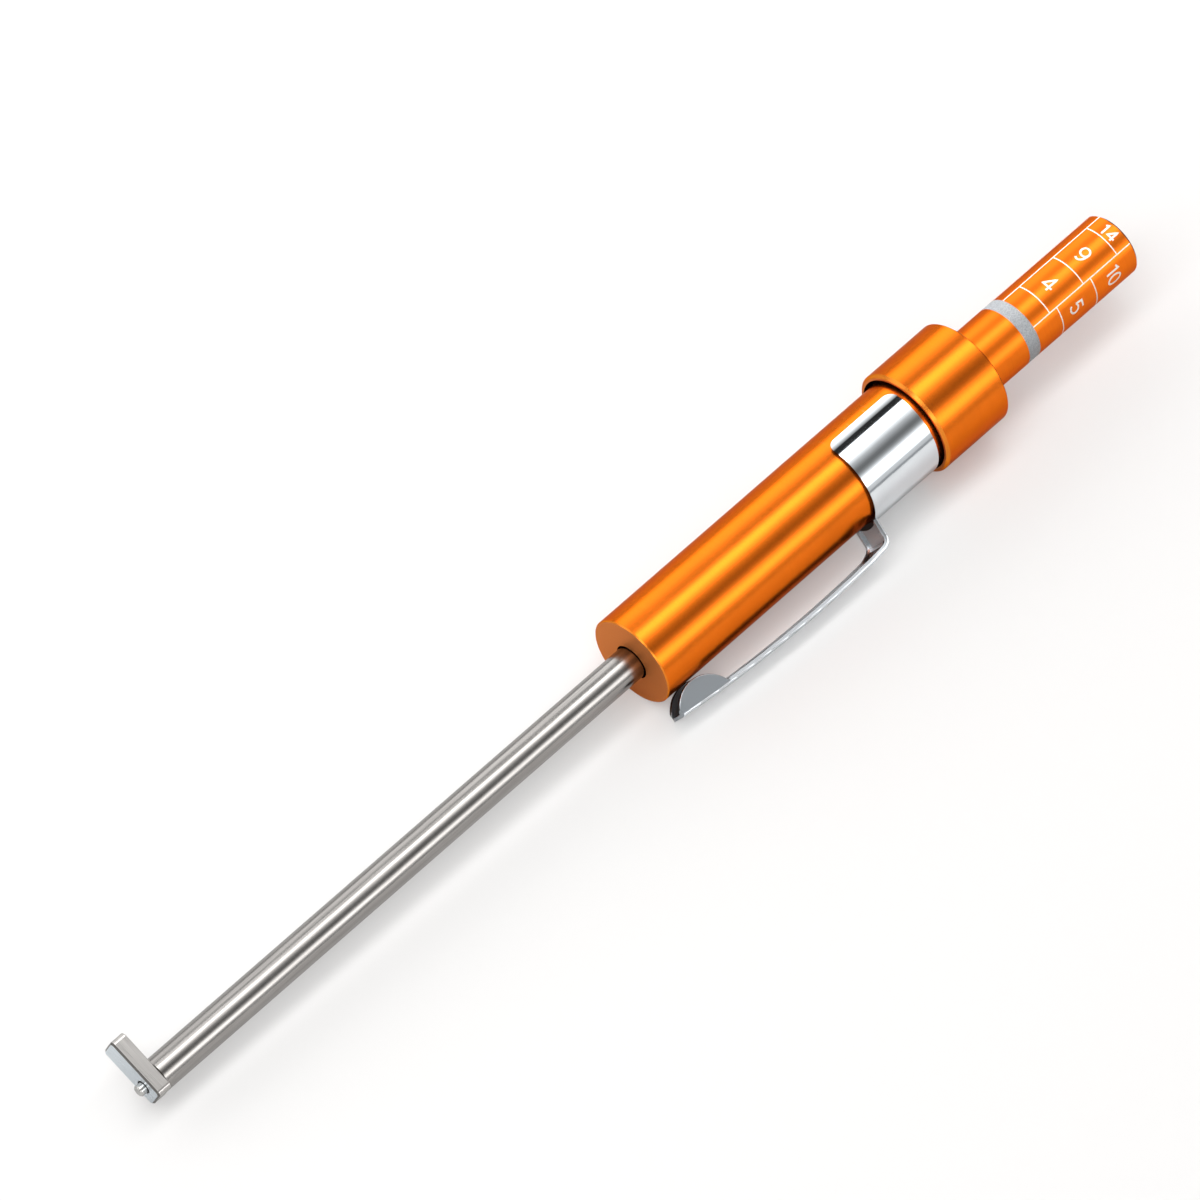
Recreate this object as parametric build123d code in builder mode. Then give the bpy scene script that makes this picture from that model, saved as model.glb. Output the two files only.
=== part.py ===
"""Pen-type brake pad gauge: a spring-loaded probe in a guide tube, read on a sliding scale barrel.

The gauge lies along +X. The origin is the centre of the probe tip's end face at rest, +X runs from
the tip to the scale end and +Z is up as the gauge lies on a table. All sizes are millimetres.
"""
from build123d import *
from math import cos, degrees, radians, sin
import os

# Probe and foot
probe_protrusion = 0.75
probe_tip_diameter = 1.25
probe_tip_chamfer = 0.12
foot_thickness = 1.7
foot_width = 3.15
foot_reach = 5.2
foot_heel = 1.8
foot_corner = 0.5
foot_edge_break = 0.18
foot_back_break = 0.08
foot_angle = 20.7
foot_seat_depth = 0.8
foot_hole_gap = 0.15
tip_bush_length = 3.8

# Guide tube and the brass ferrule that holds it in the handle
tube_diameter = 3.6
tube_wall = 0.6
tube_exposed_length = 66.15
shank_clearance = 0.2
ferrule_length = 6.0
ferrule_lead = 0.4

# Handle barrel
handle_diameter = 10.0
handle_wall = 1.0
handle_front_wall = 3.0
handle_edge_break = 0.12
tube_relief_gap = 0.15
tube_relief_depth = 1.4
spigot_step = 0.5
spigot_length = 4.4

# Screwed collar
collar_step = 1.0
collar_length = 8.9
collar_recess_gap = 0.45
collar_recess_depth = 1.2
collar_edge_break = 0.3
collar_back_break = 0.12
collar_lip = 1.0
collar_lip_gap = 0.1
bush_wall = 0.7
stop_washer_thickness = 0.6

# Scale barrel: the limit ring's near edge is the zero of the scale
travel = 21.0
scale_zero_offset = 5.8
scale_length = 16.2
scale_edge_break = 0.25
scale_bore_depth = 14.0
stop_flange_step = 0.45
stop_flange_length = 2.2
limit_ring_width = 1.6
limit_ring_thickness = 0.4
limit_ring_split = 0.8

# Rod fixing inside the scale barrel
holder_wall = 1.2
holder_length = 12.0
rod_thread_length = 10.0
lock_nut_wall = 1.0
lock_nut_thickness = 1.6
grub_screw_diameter = 1.6
grub_socket_width = 0.7
grub_socket_depth = 0.7

# Return spring and what it pushes on
spring_wire = 0.5
spring_gap = 0.3
spring_turns = 8.0
thrust_washer_thickness = 0.6
thrust_washer_gap = 0.3
circlip_thickness = 0.7
circlip_groove_depth = 0.3
circlip_width = 1.0
circlip_opening = 60.0

# Pocket clip, stamped from one sheet
clip_sheet = 0.35
clip_setback = 29.4
clip_band_length = 9.25
clip_collar_gap = 0.75
clip_band_opening = 90.0
clip_band_corner = 1.1
clip_angle = 30.0
clip_neck_width = 4.8
clip_neck_lean = 8.0
clip_neck_rise = 1.58
clip_gooseneck_radius = 1.3
clip_shoulder_radius = 10.0
clip_shoulder_turn = 11.4
clip_arm_climb = 2.6
clip_arm_radius = 160.0
clip_arm_reach = 26.65
clip_arm_width = 2.7
clip_flange_height = 0.6
clip_taper_length = 3.0
clip_ear_length = 6.75
clip_ear_radius = 3.5
clip_ear_break = 0.1
clip_nose_bulge = 0.5
clip_bend = 0.3

# Clearances between two pieces: what runs, what is pressed or screwed together, what is only near
running_clearance = 0.03
seat_clearance = 0.01
nut_clearance = 0.15
overtravel = 0.5

# Diameters that follow from the sizes
tube_bore = tube_diameter - 2 * tube_wall
shank_diameter = tube_bore - 2 * shank_clearance
holder_diameter = shank_diameter + 2 * holder_wall
lock_nut_width = shank_diameter + 2 * lock_nut_wall
handle_bore = handle_diameter - 2 * handle_wall
spigot_diameter = handle_diameter - 2 * spigot_step
collar_diameter = handle_diameter + 2 * collar_step
scale_diameter = handle_bore - 2 * stop_flange_step
bush_bore = scale_diameter + 2 * running_clearance
bush_diameter = bush_bore + 2 * bush_wall
circlip_diameter = handle_bore + 2 * (circlip_groove_depth - seat_clearance)
circlip_bore = circlip_diameter - 2 * circlip_width
spring_diameter = circlip_bore - 2 * spring_gap
washer_bore = lock_nut_width / cos(radians(30)) + 2 * nut_clearance
clip_inner_radius = handle_diameter / 2 + running_clearance
clip_outer_radius = clip_inner_radius + clip_sheet

# Places along the axis that follow from the sizes
foot_front_x = probe_protrusion
foot_rear_x = foot_front_x + foot_thickness
tip_bush_x = foot_rear_x - foot_seat_depth
shank_front_x = tip_bush_x + tip_bush_length + travel + overtravel
handle_front_x = foot_rear_x + tube_exposed_length
front_wall_rear_x = handle_front_x + handle_front_wall
ferrule_rear_x = front_wall_rear_x + ferrule_length
clip_front_x = handle_front_x + clip_setback
collar_front_x = clip_front_x + clip_band_length + clip_collar_gap
spigot_x = collar_front_x + collar_recess_depth
spigot_rear_x = spigot_x + spigot_length
bush_x = spigot_rear_x + stop_washer_thickness
collar_rear_x = collar_front_x + collar_length
lip_x = collar_rear_x - collar_lip
flange_x = spigot_rear_x - stop_flange_length
thrust_washer_x = flange_x - thrust_washer_thickness
scale_zero_x = collar_rear_x + scale_zero_offset
scale_rear_x = scale_zero_x + scale_length


def station(x):
    """Plane across the gauge at distance x from the probe tip, facing the scale end."""
    return Plane.YZ.offset(x)


def arcs_of_radius(builder, radius):
    """Return a piece's circular edges that have this radius."""
    arcs = builder.edges().filter_by(GeomType.CIRCLE)
    return arcs.filter_by(lambda arc: abs(arc.radius - radius) < seat_clearance)


def save(builder, name):
    """Label a finished piece and write it to its own file."""
    builder.part.label = name
    export_step(builder.part, f"parts/{name}.step")


os.makedirs("parts", exist_ok=True)

# Foot: a bar across the tube's end that hooks on the pad's backing plate
foot_plane = Plane(
    origin=(foot_front_x, 0, 0),
    x_dir=(0, cos(radians(foot_angle)), sin(radians(foot_angle))),
    z_dir=(1, 0, 0),
)
with BuildPart() as foot:
    with BuildSketch(foot_plane):
        with Locations(((foot_reach - foot_heel) / 2, 0)):
            Rectangle(foot_reach + foot_heel, foot_width)
    extrude(amount=foot_thickness)
    fillet(foot.edges().filter_by(Axis.X), foot_corner)
    chamfer(foot.faces().sort_by(Axis.X)[0].outer_wire().edges(), foot_edge_break)
    chamfer(foot.faces().sort_by(Axis.X)[-1].outer_wire().edges(), foot_back_break)
    with BuildSketch(station(foot_front_x)):
        Circle(probe_tip_diameter / 2 + foot_hole_gap)
    extrude(amount=foot_thickness, mode=Mode.SUBTRACT)
    with BuildSketch(station(tip_bush_x)):
        Circle(tube_bore / 2)
    extrude(amount=foot_seat_depth, mode=Mode.SUBTRACT)
save(foot, "foot")

# Guide tube: plain drawn tube from the foot's back to the ferrule's rear face
with BuildPart() as guide_tube:
    with BuildSketch(station(foot_rear_x)):
        Circle(tube_diameter / 2)
        Circle(tube_bore / 2, mode=Mode.SUBTRACT)
    extrude(amount=ferrule_rear_x - foot_rear_x)
save(guide_tube, "guide_tube")

# Tip bush: joins the foot to the tube's mouth and steadies the probe's thin tip section
with BuildPart() as tip_bush:
    with BuildSketch(station(tip_bush_x)):
        Circle(tube_bore / 2 - seat_clearance)
        Circle(probe_tip_diameter / 2 + running_clearance, mode=Mode.SUBTRACT)
    extrude(amount=tip_bush_length)
save(tip_bush, "tip_bush")

# Handle barrel: turned tube with a closed front, a relief round the guide tube and a screwed spigot
with BuildPart() as handle_barrel:
    with BuildSketch(station(handle_front_x)):
        Circle(handle_diameter / 2)
    extrude(amount=spigot_x - handle_front_x)
    chamfer(handle_barrel.faces().sort_by(Axis.X)[0].edges(), handle_edge_break)
    with BuildSketch(station(spigot_x)):
        Circle(spigot_diameter / 2)
    extrude(amount=spigot_length)
    with BuildSketch(station(front_wall_rear_x)):
        Circle(handle_bore / 2)
    extrude(amount=spigot_rear_x - front_wall_rear_x, mode=Mode.SUBTRACT)
    with BuildSketch(station(handle_front_x)):
        Circle(tube_diameter / 2 + seat_clearance)
    extrude(amount=handle_front_wall, mode=Mode.SUBTRACT)
    with BuildSketch(station(handle_front_x)):
        Circle(tube_diameter / 2 + tube_relief_gap)
    extrude(amount=tube_relief_depth, mode=Mode.SUBTRACT)
    with BuildSketch(station(ferrule_rear_x)):
        Circle(handle_bore / 2 + circlip_groove_depth)
    extrude(amount=circlip_thickness, mode=Mode.SUBTRACT)
save(handle_barrel, "handle_barrel")

# Tube ferrule: brass bush brazed on the tube's inner end, seated on the handle's front wall
with BuildPart() as tube_ferrule:
    with BuildSketch(station(front_wall_rear_x)):
        Circle(handle_bore / 2 - seat_clearance)
    extrude(amount=ferrule_length)
    chamfer(tube_ferrule.edges().sort_by(Axis.X)[0], ferrule_lead)
    with BuildSketch(station(front_wall_rear_x)):
        Circle(tube_diameter / 2 + seat_clearance)
    extrude(amount=ferrule_length, mode=Mode.SUBTRACT)
save(tube_ferrule, "tube_ferrule")

# Ferrule circlip: open ring sprung into the handle's groove behind the ferrule
with BuildPart() as ferrule_circlip:
    with BuildSketch(station(ferrule_rear_x)):
        Circle(circlip_diameter / 2)
        Circle(circlip_bore / 2, mode=Mode.SUBTRACT)
        with BuildLine():
            first_side = PolarLine((0, 0), circlip_diameter, -90 - circlip_opening / 2)
            second_side = PolarLine((0, 0), circlip_diameter, -90 + circlip_opening / 2)
            Line(first_side @ 1, second_side @ 1)
        make_face(mode=Mode.SUBTRACT)
    extrude(amount=circlip_thickness)
save(ferrule_circlip, "ferrule_circlip")

# Return spring: open coil between the ferrule and the thrust washer, of eight-sided wire to stay light
spring_front_x = ferrule_rear_x + spring_wire / 2 + seat_clearance
spring_rear_x = thrust_washer_x - spring_wire / 2 - seat_clearance
spring_length = spring_rear_x - spring_front_x
spring_radius = (spring_diameter - spring_wire) / 2
with BuildPart() as return_spring:
    with BuildLine():
        coil = Helix(
            pitch=spring_length / spring_turns,
            height=spring_length,
            radius=spring_radius,
            center=(spring_front_x, 0, 0),
            direction=(1, 0, 0),
        )
    with BuildSketch(Plane(origin=coil @ 0, z_dir=coil % 0)):
        RegularPolygon(spring_wire / 2, 8)
    sweep(is_frenet=True)
save(return_spring, "return_spring")

# Thrust washer: carries the spring and lets the scale barrel turn on it
with BuildPart() as thrust_washer:
    with BuildSketch(station(thrust_washer_x + running_clearance)):
        Circle(handle_bore / 2 - thrust_washer_gap)
        Circle(washer_bore / 2, mode=Mode.SUBTRACT)
    extrude(amount=thrust_washer_thickness - 2 * running_clearance)
save(thrust_washer, "thrust_washer")

# Scale barrel: stop flange inside the handle, plain guided length, groove for the ring, closed end
with BuildPart() as scale_barrel:
    with BuildSketch(station(flange_x)):
        Circle(handle_bore / 2 - running_clearance)
    extrude(amount=stop_flange_length)
    with BuildSketch(station(flange_x)):
        Circle(scale_diameter / 2)
    extrude(amount=scale_rear_x - flange_x)
    chamfer(scale_barrel.faces().sort_by(Axis.X)[-1].edges(), scale_edge_break)
    with BuildSketch(station(flange_x)):
        Circle(holder_diameter / 2 + seat_clearance)
    extrude(amount=scale_bore_depth, mode=Mode.SUBTRACT)
    with BuildSketch(station(scale_zero_x)):
        Circle(scale_diameter / 2 + seat_clearance)
        Circle(scale_diameter / 2 - limit_ring_thickness, mode=Mode.SUBTRACT)
    extrude(amount=limit_ring_width, mode=Mode.SUBTRACT)
    with BuildSketch(Plane.XY.offset(holder_diameter / 2)):
        with Locations((flange_x + stop_flange_length / 2, 0)):
            Circle(grub_screw_diameter / 2 + seat_clearance)
    extrude(amount=handle_bore / 2, mode=Mode.SUBTRACT)
save(scale_barrel, "scale_barrel")

# Limit ring: split grey ring in the barrel's groove, its near edge marks a bare backing plate
with BuildPart() as limit_ring:
    with BuildSketch(station(scale_zero_x + seat_clearance)):
        Circle(scale_diameter / 2)
        Circle(scale_diameter / 2 - limit_ring_thickness + seat_clearance, mode=Mode.SUBTRACT)
        with Locations((0, -scale_diameter / 2)):
            Rectangle(limit_ring_split, 4 * limit_ring_thickness, mode=Mode.SUBTRACT)
    extrude(amount=limit_ring_width - 2 * seat_clearance)
save(limit_ring, "limit_ring")

# Rod holder: brass insert in the scale barrel, tapped for the rod
with BuildPart() as rod_holder:
    with BuildSketch(station(flange_x)):
        Circle(holder_diameter / 2)
    extrude(amount=holder_length)
    with BuildSketch(station(flange_x)):
        Circle(shank_diameter / 2 + seat_clearance)
    extrude(amount=rod_thread_length + seat_clearance, mode=Mode.SUBTRACT)
save(rod_holder, "rod_holder")

# Holder grub screw: locks the rod holder in the scale barrel
grub_rear_z = holder_diameter / 2 + seat_clearance
grub_head_z = handle_bore / 2 - running_clearance - 2 * seat_clearance
with BuildPart() as holder_grub_screw:
    with BuildSketch(Plane.XY.offset(grub_rear_z)):
        with Locations((flange_x + stop_flange_length / 2, 0)):
            Circle(grub_screw_diameter / 2)
    extrude(amount=grub_head_z - grub_rear_z)
    with BuildSketch(Plane.XY.offset(grub_head_z)):
        with Locations((flange_x + stop_flange_length / 2, 0)):
            RegularPolygon(grub_socket_width / 2, 6, major_radius=False)
    extrude(amount=-grub_socket_depth, mode=Mode.SUBTRACT)
save(holder_grub_screw, "holder_grub_screw")

# Rod lock nut: fixes the scale's zero once the rod is screwed to length
with BuildPart() as rod_lock_nut:
    with BuildSketch(station(flange_x - seat_clearance)):
        RegularPolygon(lock_nut_width / 2, 6, major_radius=False)
        Circle(shank_diameter / 2 + seat_clearance, mode=Mode.SUBTRACT)
    extrude(amount=-lock_nut_thickness)
save(rod_lock_nut, "rod_lock_nut")

# Probe rod: thin tip section through the foot, thicker shank back to the rod holder
with BuildPart() as probe_rod:
    with BuildSketch(station(0)):
        Circle(probe_tip_diameter / 2)
    extrude(amount=shank_front_x)
    chamfer(probe_rod.faces().sort_by(Axis.X)[0].edges(), probe_tip_chamfer)
    with BuildSketch(station(shank_front_x)):
        Circle(shank_diameter / 2)
    extrude(amount=flange_x + rod_thread_length - shank_front_x)
save(probe_rod, "probe_rod")

# Stop washer: clamped between the spigot and the collar, catches the scale barrel's flange
with BuildPart() as stop_washer:
    with BuildSketch(station(spigot_rear_x + seat_clearance)):
        Circle(spigot_diameter / 2 - seat_clearance)
        Circle(bush_bore / 2 + seat_clearance, mode=Mode.SUBTRACT)
    extrude(amount=stop_washer_thickness - 2 * seat_clearance)
save(stop_washer, "stop_washer")

# Collar bush: plain bearing of the scale barrel, pressed into the collar from inside
with BuildPart() as collar_bush:
    with BuildSketch(station(bush_x)):
        Circle(bush_diameter / 2 - seat_clearance)
        Circle(bush_bore / 2, mode=Mode.SUBTRACT)
    extrude(amount=lip_x - bush_x - seat_clearance)
save(collar_bush, "collar_bush")

# Collar: screwed over the spigot, its front recess leaves a dark gap round the handle
with BuildPart() as collar:
    with BuildSketch(station(collar_front_x)):
        Circle(collar_diameter / 2)
    extrude(amount=collar_length)
    chamfer(collar.faces().sort_by(Axis.X)[0].edges(), collar_edge_break)
    chamfer(collar.faces().sort_by(Axis.X)[-1].edges(), collar_back_break)
    with BuildSketch(station(collar_front_x)):
        Circle(handle_diameter / 2 + collar_recess_gap)
    extrude(amount=collar_recess_depth, mode=Mode.SUBTRACT)
    with BuildSketch(station(spigot_x)):
        Circle(spigot_diameter / 2 + seat_clearance)
    extrude(amount=bush_x - spigot_x, mode=Mode.SUBTRACT)
    with BuildSketch(station(bush_x)):
        Circle(bush_diameter / 2)
    extrude(amount=lip_x - bush_x, mode=Mode.SUBTRACT)
    with BuildSketch(station(lip_x)):
        Circle(scale_diameter / 2 + collar_lip_gap)
    extrude(amount=collar_lip, mode=Mode.SUBTRACT)
save(collar, "collar")

# Pocket clip: C-band, gooseneck, channelled arm and two folded ears in one sheet
clip_outward = Vector(0, -cos(radians(clip_angle)), -sin(radians(clip_angle)))
clip_side = Plane(origin=(0, 0, 0), x_dir=(1, 0, 0), z_dir=Vector(1, 0, 0).cross(clip_outward))
clip_plan = Plane(origin=(0, 0, 0), x_dir=(1, 0, 0), z_dir=clip_outward)
clip_station = Plane(origin=(clip_front_x, 0, 0), x_dir=-clip_outward, z_dir=(1, 0, 0))
clip_reach = 2 * handle_diameter

with BuildLine(clip_side) as clip_outline:
    neck_root = (clip_front_x + clip_sheet / 2, clip_inner_radius)
    neck = PolarLine(neck_root, clip_neck_rise + clip_sheet, 90 + clip_neck_lean)
    gooseneck = JernArc(
        start=neck @ 1,
        tangent=neck % 1,
        radius=clip_gooseneck_radius,
        arc_size=90 - clip_neck_lean - clip_shoulder_turn - clip_arm_climb,
    )
    shoulder = JernArc(
        start=gooseneck @ 1,
        tangent=gooseneck % 1,
        radius=clip_shoulder_radius,
        arc_size=clip_shoulder_turn,
    )
    arm = JernArc(
        start=shoulder @ 1,
        tangent=shoulder % 1,
        radius=clip_arm_radius,
        arc_size=degrees(clip_arm_reach / clip_arm_radius),
    )


def strip_plan(inset, nose_x, nose_bulge):
    """Return the strip's plan outline, drawn in by inset at each side and ending at nose_x."""
    half_neck = clip_neck_width / 2 - inset
    half_arm = clip_arm_width / 2 - inset
    root_x = clip_front_x + clip_neck_width
    taper_x = clip_front_x - clip_sheet
    taper_end_x = taper_x - clip_taper_length
    taper_middle_x = (taper_x + taper_end_x) / 2
    with BuildSketch(clip_plan) as plan:
        with BuildLine():
            Line((root_x, 0), (root_x, half_neck))
            Line((root_x, half_neck), (taper_x, half_neck))
            Bezier(
                (taper_x, half_neck),
                (taper_middle_x, half_neck),
                (taper_middle_x, half_arm),
                (taper_end_x, half_arm),
            )
            Line((taper_end_x, half_arm), (nose_x, half_arm))
            mirror(about=Plane.XZ)
            ThreePointArc((nose_x, half_arm), (nose_x - nose_bulge, 0), (nose_x, -half_arm))
        make_face()
    return plan.sketch


arm_nose = clip_side.to_local_coords(arm @ 1)
ear_rear = clip_side.to_local_coords(arm @ (1 - clip_ear_length / arm.length))
with BuildPart() as clip_floor:
    with BuildSketch(clip_side):
        with BuildLine():
            add(clip_side.to_local_coords(clip_outline.line))
            offset(amount=clip_sheet, side=Side.LEFT)
        make_face()
    extrude(amount=clip_neck_width, both=True)
    strip = strip_plan(0, arm_nose.X + clip_nose_bulge, clip_nose_bulge)
    extrude(strip, amount=clip_reach, mode=Mode.INTERSECT)

with BuildPart() as clip_flanges:
    with BuildSketch(clip_side):
        with BuildLine():
            add(clip_side.to_local_coords(clip_outline.line))
            offset(amount=clip_flange_height, side=Side.LEFT)
        make_face()
        with BuildLine():
            RadiusArc((arm_nose.X, arm_nose.Y), (ear_rear.X, ear_rear.Y), -clip_ear_radius)
            Line((ear_rear.X, ear_rear.Y), (arm_nose.X, arm_nose.Y))
        make_face()
    extrude(amount=clip_neck_width, both=True)
    strip = strip_plan(0, arm_nose.X + clip_nose_bulge, clip_nose_bulge)
    extrude(strip, amount=clip_reach, mode=Mode.INTERSECT)
    channel = strip_plan(clip_sheet, arm_nose.X - clip_ear_length, clip_nose_bulge)
    extrude(channel, amount=clip_reach, mode=Mode.SUBTRACT)

with BuildPart() as clip_strip:
    add(clip_floor.part)
    add(clip_flanges.part)
    fillet(arcs_of_radius(clip_strip, clip_arm_radius), clip_bend)
    fillet(arcs_of_radius(clip_strip, clip_ear_radius), clip_ear_break)

with BuildPart() as pocket_clip:
    with BuildSketch(clip_station):
        Circle(clip_outer_radius)
        Circle(clip_inner_radius, mode=Mode.SUBTRACT)
        with BuildLine():
            first_side = PolarLine((0, 0), clip_reach, -clip_band_opening / 2)
            second_side = PolarLine((0, 0), clip_reach, clip_band_opening / 2)
            Line(first_side @ 1, second_side @ 1)
        make_face(mode=Mode.SUBTRACT)
    extrude(amount=clip_band_length)
    corners = pocket_clip.edges().filter_by(GeomType.LINE).group_by(SortBy.LENGTH)[0]
    fillet(corners, clip_band_corner)
    add(clip_strip.part)
    with BuildSketch(clip_station.offset(-clip_arm_reach)):
        Circle(clip_inner_radius)
    extrude(amount=2 * clip_arm_reach, mode=Mode.SUBTRACT)
save(pocket_clip, "pocket_clip")
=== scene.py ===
"""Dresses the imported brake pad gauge: its finishes, printed scale, studio floor, lamps and camera.

Everything is in metres in the gauge's own frame: the origin is the centre of the probe's end at rest,
+X runs to the scale end and +Z is up. Turns round the gauge are counted from straight up towards -Y.
"""
import math

import bpy
from bpy.props import FloatProperty, FloatVectorProperty, IntProperty, PointerProperty
from mathutils import Matrix, Vector


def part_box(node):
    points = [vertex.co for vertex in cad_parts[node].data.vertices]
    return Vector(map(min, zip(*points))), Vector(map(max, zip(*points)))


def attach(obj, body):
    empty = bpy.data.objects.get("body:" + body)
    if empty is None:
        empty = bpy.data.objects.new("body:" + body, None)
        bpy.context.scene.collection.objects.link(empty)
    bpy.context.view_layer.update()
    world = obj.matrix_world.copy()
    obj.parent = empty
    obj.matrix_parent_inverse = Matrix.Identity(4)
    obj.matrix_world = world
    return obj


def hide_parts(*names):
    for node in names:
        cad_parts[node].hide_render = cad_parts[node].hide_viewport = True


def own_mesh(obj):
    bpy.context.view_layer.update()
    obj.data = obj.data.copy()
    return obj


bl_info = {
    "name": "Brake pad gauge finishes",
    "version": (1, 0, 0),
    "blender": (4, 5, 0),
    "location": "View3D > Sidebar > Gauge",
    "description": "Finishes, printed scale and studio of a pen-type brake pad gauge",
    "category": "Object",
}

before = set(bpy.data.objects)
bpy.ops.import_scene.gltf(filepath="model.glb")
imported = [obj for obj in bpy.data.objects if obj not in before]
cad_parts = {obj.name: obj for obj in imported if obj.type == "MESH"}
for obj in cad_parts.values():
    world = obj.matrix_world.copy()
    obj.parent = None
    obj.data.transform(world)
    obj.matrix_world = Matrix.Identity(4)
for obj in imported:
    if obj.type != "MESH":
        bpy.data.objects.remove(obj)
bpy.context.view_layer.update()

MM = 0.001
BRASS_NODES = ("tip_bush", "tube_ferrule", "rod_holder")
SPRING_NODES = ("return_spring", "ferrule_circlip")
ZINC_NODES = ("thrust_washer", "rod_lock_nut")
BEARING_NODES = ("collar_bush", "stop_washer")
WHITE = (1.0, 1.0, 1.0, 1.0)
BLACK = (0.0, 0.0, 0.0, 1.0)
LAMP_DISTANCE = 0.8


def linear(hex_colour):
    """Turn an sRGB hex colour into linear red, green, blue and an alpha of 1."""
    channels = [int(hex_colour[start:start + 2], 16) / 255 for start in (1, 3, 5)]
    linear_channels = [c / 12.92 if c <= 0.04045 else ((c + 0.055) / 1.055) ** 2.4 for c in channels]
    return (*linear_channels, 1.0)


def shade(colour, factor):
    """Return a colour made lighter or darker by a factor."""
    return (*[min(channel * factor, 1.0) for channel in colour[:3]], 1.0)


def level(value):
    """Return a linear grey of this level."""
    return (value, value, value, 1.0)


def radial(turn):
    """Return the unit vector across the gauge at this turn from straight up towards -Y."""
    return Vector((0, -math.sin(turn), math.cos(turn)))


def add_node(tree, kind, inputs=None, stops=None, **settings):
    """Add a shader node; an input is a value or the output that feeds it, stops are a ramp's colours."""
    node = tree.nodes.new(kind)
    for name, value in settings.items():
        setattr(node, name, value)
    for name, value in (inputs or {}).items():
        if isinstance(value, bpy.types.NodeSocket):
            tree.links.new(value, node.inputs[name])
        else:
            node.inputs[name].default_value = value
    for index, (position, colour) in enumerate(stops or ()):
        elements = node.color_ramp.elements
        element = elements[index] if index < 2 else elements.new(position)
        element.position = position
        element.color = colour
    return node


def new_material(name):
    """Return a new empty material and its node tree."""
    material = bpy.data.materials.new(name)
    material.use_nodes = True
    material.node_tree.nodes.clear()
    return material, material.node_tree


def grain(tree, size_mm, detail=3.0, turn=0.0):
    """Return a grain from 0 to 1 whose marks have this size in mm along X, Y and Z, turned round X."""
    place = add_node(tree, "ShaderNodeTexCoord").outputs["Object"]
    turned = add_node(
        tree,
        "ShaderNodeVectorRotate",
        {"Vector": place, "Angle": turn},
        rotation_type="X_AXIS",
    ).outputs["Vector"]
    scale = [1 / (size * MM) for size in size_mm]
    scaled = add_node(tree, "ShaderNodeVectorMath", {0: turned, 1: scale}, operation="MULTIPLY")
    noise = add_node(
        tree,
        "ShaderNodeTexNoise",
        {"Vector": scaled.outputs["Vector"], "Scale": 1.0, "Detail": detail, "Roughness": 0.6},
    )
    ranged = add_node(
        tree,
        "ShaderNodeMapRange",
        {"Value": noise.outputs["Fac"], "From Min": 0.3, "From Max": 0.7},
    )
    return ranged.outputs["Result"]


def gauge_place(tree):
    """Return a surface point's place along the gauge, its radius and how far it faces -X and outward."""
    place = add_node(tree, "ShaderNodeTexCoord").outputs["Object"]
    along = add_node(tree, "ShaderNodeSeparateXYZ", {"Vector": place})
    across = add_node(tree, "ShaderNodeVectorMath", {0: place, 1: (0.0, 1.0, 1.0)}, operation="MULTIPLY")
    radius = add_node(tree, "ShaderNodeVectorMath", {0: across.outputs["Vector"]}, operation="LENGTH")
    normal = add_node(tree, "ShaderNodeNewGeometry").outputs["Normal"]
    front = (-1.0, 0.0, 0.0)
    facing = add_node(tree, "ShaderNodeVectorMath", {0: normal, 1: front}, operation="DOT_PRODUCT")
    away = add_node(tree, "ShaderNodeVectorMath", {0: across.outputs["Vector"]}, operation="NORMALIZE")
    outward = add_node(
        tree,
        "ShaderNodeVectorMath",
        {0: normal, 1: away.outputs["Vector"]},
        operation="DOT_PRODUCT",
    )
    return along.outputs["X"], radius.outputs["Value"], facing.outputs["Value"], outward.outputs["Value"]


def metal(tree, colour, roughness, relief, relief_mm, **more):
    """Close a metal's tree with a relief in mm and more inputs.

    The roughness is an output, or a range that follows the relief.
    """
    if isinstance(roughness, tuple):
        ranged = add_node(
            tree,
            "ShaderNodeMapRange",
            {"Value": relief, "To Min": roughness[0], "To Max": roughness[1]},
        )
        roughness = ranged.outputs["Result"]
    raised = add_node(tree, "ShaderNodeBump", {"Height": relief, "Distance": relief_mm * MM})
    inputs = {
        "Base Color": colour,
        "Metallic": 1.0,
        "Roughness": roughness,
        "Normal": raised.outputs["Normal"],
    }
    inputs.update(more)
    surface = add_node(tree, "ShaderNodeBsdfPrincipled", inputs)
    add_node(tree, "ShaderNodeOutputMaterial", {"Surface": surface.outputs["BSDF"]})


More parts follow.
